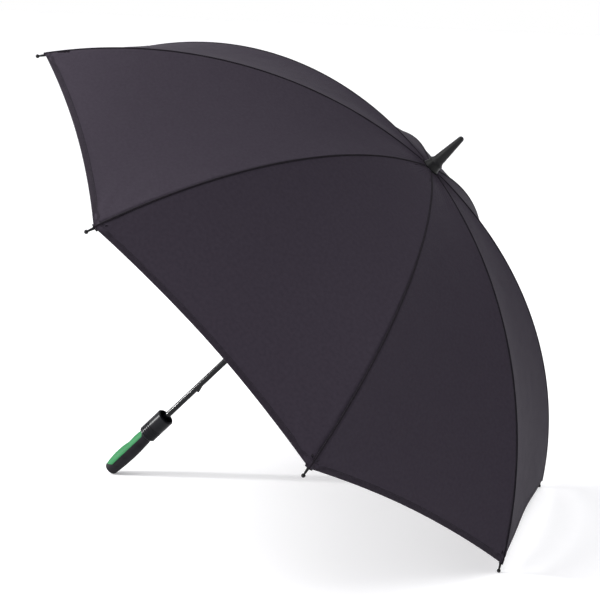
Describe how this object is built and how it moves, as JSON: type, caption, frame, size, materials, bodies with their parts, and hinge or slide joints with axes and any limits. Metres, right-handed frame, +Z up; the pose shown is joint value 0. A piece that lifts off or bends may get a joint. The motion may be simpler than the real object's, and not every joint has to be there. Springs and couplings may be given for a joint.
{
  "type": "golf umbrella",
  "caption": "Open golf umbrella with a domed black canopy, bent ribs, a sliding runner and a straight rubber grip with a coloured insert, leaning on its handle and rib tips.",
  "frame": {"origin": "on the floor, under the middle of the object's box, with the open umbrella leaning on the end of its grip and two rib tips", "axes": "+Z up; the shaft lies in the XZ plane and rises by 46.26 degrees from the handle at -X to the ferrule at +X; the object is mirror symmetric about the XZ plane and Y is its widest direction"},
  "size_m": [0.9072, 1.238, 0.8755],
  "materials": {
    "shaft_black": "gloss",
    "black_plastic": "satin",
    "steel_wire": "drawn",
    "frame_black": "satin",
    "grip_rubber": "soft touch",
    "insert_green": "soft touch",
    "canopy_cloth": "plain weave",
    "catch_steel": "sprung"
  },
  "bodies": {
    "shaft": {"shaft": "shaft_black", "ferrule": "black_plastic", "crown_cap": "black_plastic", "crown_washer": "black_plastic", "crown_notch": "black_plastic", "crown_wire": "steel_wire", "runner_stop_pin": "catch_steel", "handle_cup": "black_plastic", "handle_core": "black_plastic", "handle_grip": "grip_rubber", "handle_insert": "insert_green"},
    "runner": {"runner": "black_plastic", "runner_wire": "steel_wire"},
    "top_catch": {"top_catch": "catch_steel"},
    "bottom_catch": {"bottom_catch": "catch_steel"},
    "rib_1": {"rib_1": "frame_black", "rib_tip_1": "black_plastic", "rib_bracket_1": "frame_black"},
    "rib_2": {"rib_2": "frame_black", "rib_tip_2": "black_plastic", "rib_bracket_2": "frame_black"},
    "rib_3": {"rib_3": "frame_black", "rib_tip_3": "black_plastic", "rib_bracket_3": "frame_black"},
    "rib_4": {"rib_4": "frame_black", "rib_tip_4": "black_plastic", "rib_bracket_4": "frame_black"},
    "rib_5": {"rib_5": "frame_black", "rib_tip_5": "black_plastic", "rib_bracket_5": "frame_black"},
    "rib_6": {"rib_6": "frame_black", "rib_tip_6": "black_plastic", "rib_bracket_6": "frame_black"},
    "rib_7": {"rib_7": "frame_black", "rib_tip_7": "black_plastic", "rib_bracket_7": "frame_black"},
    "rib_8": {"rib_8": "frame_black", "rib_tip_8": "black_plastic", "rib_bracket_8": "frame_black"},
    "stretcher_1": {"stretcher_1": "frame_black"},
    "stretcher_2": {"stretcher_2": "frame_black"},
    "stretcher_3": {"stretcher_3": "frame_black"},
    "stretcher_4": {"stretcher_4": "frame_black"},
    "stretcher_5": {"stretcher_5": "frame_black"},
    "stretcher_6": {"stretcher_6": "frame_black"},
    "stretcher_7": {"stretcher_7": "frame_black"},
    "stretcher_8": {"stretcher_8": "frame_black"},
    "gore_1": {"canopy_gore_1": "canopy_cloth"},
    "gore_2": {"canopy_gore_2": "canopy_cloth"},
    "gore_3": {"canopy_gore_3": "canopy_cloth"},
    "gore_4": {"canopy_gore_4": "canopy_cloth"},
    "gore_5": {"canopy_gore_5": "canopy_cloth"},
    "gore_6": {"canopy_gore_6": "canopy_cloth"},
    "gore_7": {"canopy_gore_7": "canopy_cloth"},
    "gore_8": {"canopy_gore_8": "canopy_cloth"}
  },
  "joints": [
    {"name": "runner_slide", "type": "slide", "parent": "shaft", "child": "runner", "axis": [-0.6914, 0, -0.7224], "range_m": [0, 0.32608]},
    {"name": "rib_1_hinge", "type": "hinge", "parent": "shaft", "child": "rib_1", "pos_m": [0.21923, -0.00364, 0.67647], "axis": [0.2765, -0.9239, -0.2646], "range_deg": [0, 62.88]},
    {"name": "rib_2_hinge", "type": "hinge", "parent": "shaft", "child": "rib_2", "pos_m": [0.22294, -0.00878, 0.67291], "axis": [0.6675, -0.3827, -0.6388], "range_deg": [0, 62.88]},
    {"name": "rib_3_hinge", "type": "hinge", "parent": "shaft", "child": "rib_3", "pos_m": [0.2282, -0.00878, 0.66789], "axis": [0.6675, 0.3827, -0.6388], "range_deg": [0, 62.88]},
    {"name": "rib_4_hinge", "type": "hinge", "parent": "shaft", "child": "rib_4", "pos_m": [0.23191, -0.00364, 0.66433], "axis": [0.2765, 0.9239, -0.2646], "range_deg": [0, 62.88]},
    {"name": "rib_5_hinge", "type": "hinge", "parent": "shaft", "child": "rib_5", "pos_m": [0.23191, 0.00364, 0.66433], "axis": [-0.2765, 0.9239, 0.2646], "range_deg": [0, 62.88]},
    {"name": "rib_6_hinge", "type": "hinge", "parent": "shaft", "child": "rib_6", "pos_m": [0.2282, 0.00878, 0.66789], "axis": [-0.6675, 0.3827, 0.6388], "range_deg": [0, 62.88]},
    {"name": "rib_7_hinge", "type": "hinge", "parent": "shaft", "child": "rib_7", "pos_m": [0.22294, 0.00878, 0.67291], "axis": [-0.6675, -0.3827, 0.6388], "range_deg": [0, 62.88]},
    {"name": "rib_8_hinge", "type": "hinge", "parent": "shaft", "child": "rib_8", "pos_m": [0.21923, 0.00364, 0.67647], "axis": [-0.2765, -0.9239, 0.2646], "range_deg": [0, 62.88]},
    {"name": "stretcher_1_hinge", "type": "hinge", "parent": "rib_1", "child": "stretcher_1", "pos_m": [-0.0005, -0.10781, 0.81061], "axis": [-0.2765, 0.9239, 0.2646], "range_deg": [0, 100.15]},
    {"name": "stretcher_2_hinge", "type": "hinge", "parent": "rib_2", "child": "stretcher_2", "pos_m": [0.10964, -0.26027, 0.70519], "axis": [-0.6675, 0.3827, 0.6388], "range_deg": [0, 100.15]},
    {"name": "stretcher_3_hinge", "type": "hinge", "parent": "rib_3", "child": "stretcher_3", "pos_m": [0.26541, -0.26027, 0.55611], "axis": [-0.6675, -0.3827, 0.6388], "range_deg": [0, 100.15]},
    {"name": "stretcher_4_hinge", "type": "hinge", "parent": "rib_4", "child": "stretcher_4", "pos_m": [0.37555, -0.10781, 0.4507], "axis": [-0.2765, -0.9239, 0.2646], "range_deg": [0, 100.15]},
    {"name": "stretcher_5_hinge", "type": "hinge", "parent": "rib_5", "child": "stretcher_5", "pos_m": [0.37555, 0.10781, 0.4507], "axis": [0.2765, -0.9239, -0.2646], "range_deg": [0, 100.15]},
    {"name": "stretcher_6_hinge", "type": "hinge", "parent": "rib_6", "child": "stretcher_6", "pos_m": [0.26541, 0.26027, 0.55611], "axis": [0.6675, -0.3827, -0.6388], "range_deg": [0, 100.15]},
    {"name": "stretcher_7_hinge", "type": "hinge", "parent": "rib_7", "child": "stretcher_7", "pos_m": [0.10964, 0.26027, 0.70519], "axis": [0.6675, 0.3827, -0.6388], "range_deg": [0, 100.15]},
    {"name": "stretcher_8_hinge", "type": "hinge", "parent": "rib_8", "child": "stretcher_8", "pos_m": [-0.0005, 0.10781, 0.81061], "axis": [0.2765, 0.9239, -0.2646], "range_deg": [0, 100.15]},
    {"name": "gore_1_hinge", "type": "hinge", "parent": "shaft", "child": "gore_1", "pos_m": [0.22109, -0.00621, 0.67469], "axis": [0.5108, -0.7071, -0.4889], "range_deg": [0, 62.88], "deforming": ["canopy_gore_1"]},
    {"name": "gore_2_hinge", "type": "hinge", "parent": "shaft", "child": "gore_2", "pos_m": [0.22557, -0.00878, 0.6704], "axis": [0.7224, 0, -0.6914], "range_deg": [0, 62.88], "deforming": ["canopy_gore_2"]},
    {"name": "gore_3_hinge", "type": "hinge", "parent": "shaft", "child": "gore_3", "pos_m": [0.23005, -0.00621, 0.66611], "axis": [0.5108, 0.7071, -0.4889], "range_deg": [0, 62.88], "deforming": ["canopy_gore_3"]},
    {"name": "gore_4_hinge", "type": "hinge", "parent": "shaft", "child": "gore_4", "pos_m": [0.23191, 0, 0.66433], "axis": [0, 1, 0], "range_deg": [0, 62.88], "deforming": ["canopy_gore_4"]},
    {"name": "gore_5_hinge", "type": "hinge", "parent": "shaft", "child": "gore_5", "pos_m": [0.23005, 0.00621, 0.66611], "axis": [-0.5108, 0.7071, 0.4889], "range_deg": [0, 62.88], "deforming": ["canopy_gore_5"]},
    {"name": "gore_6_hinge", "type": "hinge", "parent": "shaft", "child": "gore_6", "pos_m": [0.22557, 0.00878, 0.6704], "axis": [-0.7224, 0, 0.6914], "range_deg": [0, 62.88], "deforming": ["canopy_gore_6"]},
    {"name": "gore_7_hinge", "type": "hinge", "parent": "shaft", "child": "gore_7", "pos_m": [0.22109, 0.00621, 0.67469], "axis": [-0.5108, -0.7071, 0.4889], "range_deg": [0, 62.88], "deforming": ["canopy_gore_7"]},
    {"name": "gore_8_hinge", "type": "hinge", "parent": "shaft", "child": "gore_8", "pos_m": [0.21923, 0, 0.67647], "axis": [0, -1, 0], "range_deg": [0, 62.88], "deforming": ["canopy_gore_8"]},
    {"name": "top_catch_press", "type": "slide", "parent": "shaft", "child": "top_catch", "axis": [-0.7224, 0, 0.6914], "range_m": [0, 0.0034], "stiffness_N_per_m": 1500, "springref_m": -0.001},
    {"name": "bottom_catch_press", "type": "slide", "parent": "shaft", "child": "bottom_catch", "axis": [-0.7224, 0, 0.6914], "range_m": [0, 0.0034], "stiffness_N_per_m": 1500, "springref_m": -0.001}
  ],
  "couplings": [
    {"joint": "rib_1_hinge", "follows": "runner_slide", "rad_per_m": 3.3656},
    {"joint": "rib_2_hinge", "follows": "runner_slide", "rad_per_m": 3.3656},
    {"joint": "rib_3_hinge", "follows": "runner_slide", "rad_per_m": 3.3656},
    {"joint": "rib_4_hinge", "follows": "runner_slide", "rad_per_m": 3.3656},
    {"joint": "rib_5_hinge", "follows": "runner_slide", "rad_per_m": 3.3656},
    {"joint": "rib_6_hinge", "follows": "runner_slide", "rad_per_m": 3.3656},
    {"joint": "rib_7_hinge", "follows": "runner_slide", "rad_per_m": 3.3656},
    {"joint": "rib_8_hinge", "follows": "runner_slide", "rad_per_m": 3.3656},
    {"joint": "stretcher_1_hinge", "follows": "runner_slide", "rad_per_m": 5.3603},
    {"joint": "stretcher_2_hinge", "follows": "runner_slide", "rad_per_m": 5.3603},
    {"joint": "stretcher_3_hinge", "follows": "runner_slide", "rad_per_m": 5.3603},
    {"joint": "stretcher_4_hinge", "follows": "runner_slide", "rad_per_m": 5.3603},
    {"joint": "stretcher_5_hinge", "follows": "runner_slide", "rad_per_m": 5.3603},
    {"joint": "stretcher_6_hinge", "follows": "runner_slide", "rad_per_m": 5.3603},
    {"joint": "stretcher_7_hinge", "follows": "runner_slide", "rad_per_m": 5.3603},
    {"joint": "stretcher_8_hinge", "follows": "runner_slide", "rad_per_m": 5.3603},
    {"joint": "gore_1_hinge", "follows": "runner_slide", "rad_per_m": 3.3656},
    {"joint": "gore_2_hinge", "follows": "runner_slide", "rad_per_m": 3.3656},
    {"joint": "gore_3_hinge", "follows": "runner_slide", "rad_per_m": 3.3656},
    {"joint": "gore_4_hinge", "follows": "runner_slide", "rad_per_m": 3.3656},
    {"joint": "gore_5_hinge", "follows": "runner_slide", "rad_per_m": 3.3656},
    {"joint": "gore_6_hinge", "follows": "runner_slide", "rad_per_m": 3.3656},
    {"joint": "gore_7_hinge", "follows": "runner_slide", "rad_per_m": 3.3656},
    {"joint": "gore_8_hinge", "follows": "runner_slide", "rad_per_m": 3.3656}
  ]
}
